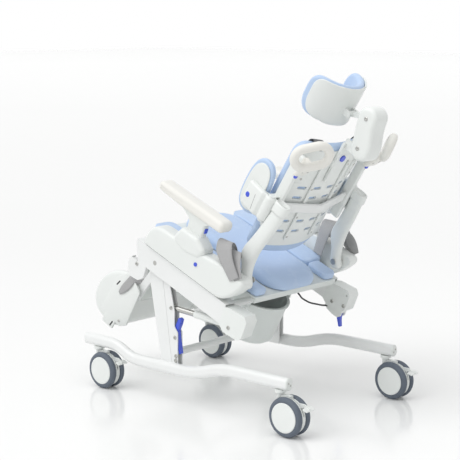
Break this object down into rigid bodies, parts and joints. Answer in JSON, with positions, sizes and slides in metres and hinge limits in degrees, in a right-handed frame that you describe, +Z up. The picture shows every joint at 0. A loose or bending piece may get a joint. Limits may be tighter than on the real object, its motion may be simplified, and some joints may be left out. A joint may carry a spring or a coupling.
{
  "type": "tilting hygiene chair",
  "caption": "Wheeled hygiene and positioning chair with a tilting padded seat, reclining back, headrest, armrests, footrest and braked twin casters.",
  "frame": {"origin": "on the floor, under the middle of the chair's bounding box", "axes": "+Z up; the occupant faces -Y; +X is the occupant's left"},
  "size_m": [0.615, 1.1146, 1.0799],
  "materials": {
    "white_metal": "gloss",
    "white_plastic": "satin",
    "cream_plastic": "matte",
    "blue_foam": "soft closed skin foam",
    "blue_plastic": "gloss",
    "bright_steel": "brushed",
    "grey_webbing": "woven",
    "tyre_rubber": "matte",
    "black_cable": "satin"
  },
  "bodies": {
    "base": {"side_rails": "white_metal", "rail_caps": "white_plastic", "base_bolts": "bright_steel", "upright_frame": "white_metal"},
    "lever": {"release_lever": "blue_plastic"},
    "strut_body": {"strut_cylinder": "bright_steel"},
    "strut_piston": {"strut_rod": "white_metal"},
    "seat": {"frame_rails": "white_metal", "rear_brackets": "white_plastic", "frame_bolts": "bright_steel", "seat_shell": "white_plastic", "seat_centre_cushion": "blue_foam", "seat_side_cushions": "blue_foam", "side_panels": "white_plastic", "hip_belts": "grey_webbing", "trigger_housing": "white_plastic", "trigger_cable": "black_cable"},
    "pan": {"collection_pan": "white_plastic"},
    "trigger": {"tilt_trigger": "blue_plastic"},
    "hanger": {"foot_hanger": "white_metal"},
    "footrest": {"foot_box": "white_plastic", "ankle_straps": "grey_webbing"},
    "back": {"back_arms": "white_metal", "back_shell": "white_plastic", "back_cushion": "blue_foam", "crossbar": "white_metal", "push_handles": "cream_plastic", "shoulder_straps": "grey_webbing"},
    "head_support": {"head_slider": "white_plastic"},
    "head_lock": {"head_button": "blue_plastic"},
    "knee": {"knee_arm": "white_plastic"},
    "link": {"head_link": "white_plastic"},
    "headrest": {"headrest_shell": "white_plastic", "headrest_cushion": "blue_foam"},
    "swivel_front_left": {"caster_front_left": "white_plastic"},
    "wheel_pair_front_left": {"wheels_front_left": "tyre_rubber"},
    "brake_front_left": {"pedal_front_left": "white_plastic"},
    "swivel_front_right": {"caster_front_right": "white_plastic"},
    "wheel_pair_front_right": {"wheels_front_right": "tyre_rubber"},
    "brake_front_right": {"pedal_front_right": "white_plastic"},
    "swivel_rear_left": {"caster_rear_left": "white_plastic"},
    "wheel_pair_rear_left": {"wheels_rear_left": "tyre_rubber"},
    "brake_rear_left": {"pedal_rear_left": "white_plastic"},
    "swivel_rear_right": {"caster_rear_right": "white_plastic"},
    "wheel_pair_rear_right": {"wheels_rear_right": "tyre_rubber"},
    "brake_rear_right": {"pedal_rear_right": "white_plastic"},
    "panel_button_left": {"panel_button_left": "blue_plastic"},
    "armrest_left": {"arm_post_left": "white_plastic", "arm_pad_left": "cream_plastic"},
    "armrest_key_left": {"arm_key_left": "blue_plastic"},
    "side_support_left": {"lateral_left": "white_plastic", "lateral_pad_left": "blue_foam"},
    "side_button_left": {"lateral_button_left": "blue_plastic"},
    "panel_button_right": {"panel_button_right": "blue_plastic"},
    "armrest_right": {"arm_post_right": "white_plastic", "arm_pad_right": "cream_plastic"},
    "armrest_key_right": {"arm_key_right": "blue_plastic"},
    "side_support_right": {"lateral_right": "white_plastic", "lateral_pad_right": "blue_foam"},
    "side_button_right": {"lateral_button_right": "blue_plastic"}
  },
  "joints": [
    {"name": "swivel_turn_front_left", "type": "hinge", "parent": "base", "child": "swivel_front_left", "pos_m": [0.275, -0.417, 0.1], "axis": [0, 0, 1], "continuous": true},
    {"name": "wheel_spin_front_left", "type": "hinge", "parent": "swivel_front_left", "child": "wheel_pair_front_left", "pos_m": [0.275, -0.381, 0.0625], "axis": [1, 0, 0], "continuous": true},
    {"name": "brake_press_front_left", "type": "hinge", "parent": "swivel_front_left", "child": "brake_front_left", "pos_m": [0.275, -0.349, 0.1025], "axis": [1, 0, 0], "range_deg": [-9, 0]},
    {"name": "swivel_turn_front_right", "type": "hinge", "parent": "base", "child": "swivel_front_right", "pos_m": [-0.275, -0.417, 0.1], "axis": [0, 0, 1], "continuous": true},
    {"name": "wheel_spin_front_right", "type": "hinge", "parent": "swivel_front_right", "child": "wheel_pair_front_right", "pos_m": [-0.275, -0.381, 0.0625], "axis": [1, 0, 0], "continuous": true},
    {"name": "brake_press_front_right", "type": "hinge", "parent": "swivel_front_right", "child": "brake_front_right", "pos_m": [-0.275, -0.349, 0.1025], "axis": [1, 0, 0], "range_deg": [-9, 0]},
    {"name": "swivel_turn_rear_left", "type": "hinge", "parent": "base", "child": "swivel_rear_left", "pos_m": [0.275, 0.393, 0.1], "axis": [0, 0, 1], "continuous": true},
    {"name": "wheel_spin_rear_left", "type": "hinge", "parent": "swivel_rear_left", "child": "wheel_pair_rear_left", "pos_m": [0.275, 0.429, 0.0625], "axis": [1, 0, 0], "continuous": true},
    {"name": "brake_press_rear_left", "type": "hinge", "parent": "swivel_rear_left", "child": "brake_rear_left", "pos_m": [0.275, 0.461, 0.1025], "axis": [1, 0, 0], "range_deg": [-9, 0]},
    {"name": "swivel_turn_rear_right", "type": "hinge", "parent": "base", "child": "swivel_rear_right", "pos_m": [-0.275, 0.393, 0.1], "axis": [0, 0, 1], "continuous": true},
    {"name": "wheel_spin_rear_right", "type": "hinge", "parent": "swivel_rear_right", "child": "wheel_pair_rear_right", "pos_m": [-0.275, 0.429, 0.0625], "axis": [1, 0, 0], "continuous": true},
    {"name": "brake_press_rear_right", "type": "hinge", "parent": "swivel_rear_right", "child": "brake_rear_right", "pos_m": [-0.275, 0.461, 0.1025], "axis": [1, 0, 0], "range_deg": [-9, 0]},
    {"name": "lever_pull", "type": "hinge", "parent": "base", "child": "lever", "pos_m": [0.258, -0.058, 0.225], "axis": [1, 0, 0], "range_deg": [-6, 2], "stiffness_Nm_per_rad": 2},
    {"name": "seat_tilt", "type": "hinge", "parent": "base", "child": "seat", "pos_m": [0, -0.131, 0.465], "axis": [1, 0, 0], "range_deg": [-5, 23]},
    {"name": "strut_swing", "type": "hinge", "parent": "base", "child": "strut_body", "pos_m": [0.258, -0.075, 0.321], "axis": [1, 0, 0], "range_deg": [-6, 27]},
    {"name": "strut_stroke", "type": "slide", "parent": "strut_body", "child": "strut_piston", "axis": [0, 0.9972, -0.0751], "range_m": [-0.015, 0.06]},
    {"name": "pan_pull", "type": "slide", "parent": "seat", "child": "pan", "axis": [0, 0.9205, -0.3907], "range_m": [0, 0.12]},
    {"name": "trigger_squeeze", "type": "hinge", "parent": "seat", "child": "trigger", "pos_m": [-0.264, 0.20639, 0.2566], "axis": [1, 0, 0], "range_deg": [0, 14], "stiffness_Nm_per_rad": 0.5, "springref_deg": -5.73},
    {"name": "hanger_swing", "type": "hinge", "parent": "seat", "child": "hanger", "pos_m": [0, -0.21447, 0.45263], "axis": [1, 0, 0], "range_deg": [-20, 4]},
    {"name": "footrest_height", "type": "slide", "parent": "hanger", "child": "footrest", "axis": [0, -0.678, -0.7351], "range_m": [-0.04, 0.03]},
    {"name": "back_recline", "type": "hinge", "parent": "seat", "child": "back", "pos_m": [0, 0.21887, 0.44468], "axis": [1, 0, 0], "range_deg": [-18, 4]},
    {"name": "head_height", "type": "slide", "parent": "back", "child": "head_support", "axis": [0, 0.5299, 0.848], "range_m": [-0.03, 0.06]},
    {"name": "head_lock_press", "type": "slide", "parent": "head_support", "child": "head_lock", "axis": [0, -0.848, 0.5299], "range_m": [0, 0.003], "stiffness_N_per_m": 600, "springref_m": -0.001},
    {"name": "knee_fold", "type": "hinge", "parent": "head_support", "child": "knee", "pos_m": [0, 0.49072, 0.86086], "axis": [1, 0, 0], "range_deg": [-12, 12]},
    {"name": "link_fold", "type": "hinge", "parent": "knee", "child": "link", "pos_m": [0, 0.52135, 0.95139], "axis": [1, 0, 0], "range_deg": [-6, 6]},
    {"name": "headrest_nod", "type": "hinge", "parent": "link", "child": "headrest", "pos_m": [0, 0.44058, 0.96177], "axis": [1, 0, 0], "range_deg": [-8, 8]},
    {"name": "panel_press_left", "type": "slide", "parent": "seat", "child": "panel_button_left", "axis": [-1, 0, 0], "range_m": [0, 0.0035], "stiffness_N_per_m": 600, "springref_m": -0.001},
    {"name": "armrest_height_left", "type": "slide", "parent": "seat", "child": "armrest_left", "axis": [0, 0.3907, 0.9205], "range_m": [-0.012, 0.03]},
    {"name": "armrest_key_press_left", "type": "slide", "parent": "armrest_left", "child": "armrest_key_left", "axis": [0, -0.9205, 0.3907], "range_m": [0, 0.0035], "stiffness_N_per_m": 600, "springref_m": -0.001},
    {"name": "side_support_swing_left", "type": "hinge", "parent": "back", "child": "side_support_left", "pos_m": [0.207, 0.2727, 0.67046], "axis": [0, 0.5299, 0.848], "range_deg": [0, 25]},
    {"name": "side_button_press_left", "type": "slide", "parent": "side_support_left", "child": "side_button_left", "axis": [-1, 0, 0], "range_m": [0, 0.003], "stiffness_N_per_m": 600, "springref_m": -0.001},
    {"name": "panel_press_right", "type": "slide", "parent": "seat", "child": "panel_button_right", "axis": [1, 0, 0], "range_m": [0, 0.0035], "stiffness_N_per_m": 600, "springref_m": -0.001},
    {"name": "armrest_height_right", "type": "slide", "parent": "seat", "child": "armrest_right", "axis": [0, 0.3907, 0.9205], "range_m": [-0.012, 0.03]},
    {"name": "armrest_key_press_right", "type": "slide", "parent": "armrest_right", "child": "armrest_key_right", "axis": [0, -0.9205, 0.3907], "range_m": [0, 0.0035], "stiffness_N_per_m": 600, "springref_m": -0.001},
    {"name": "side_support_swing_right", "type": "hinge", "parent": "back", "child": "side_support_right", "pos_m": [-0.207, 0.2727, 0.67046], "axis": [0, -0.5299, -0.848], "range_deg": [0, 25]},
    {"name": "side_button_press_right", "type": "slide", "parent": "side_support_right", "child": "side_button_right", "axis": [1, 0, 0], "range_m": [0, 0.003], "stiffness_N_per_m": 600, "springref_m": -0.001}
  ],
  "couplings": [
    {"joint": "strut_swing", "follows": "seat_tilt", "ratio": 1.15},
    {"joint": "strut_stroke", "follows": "seat_tilt", "m_per_rad": 0.146}
  ]
}
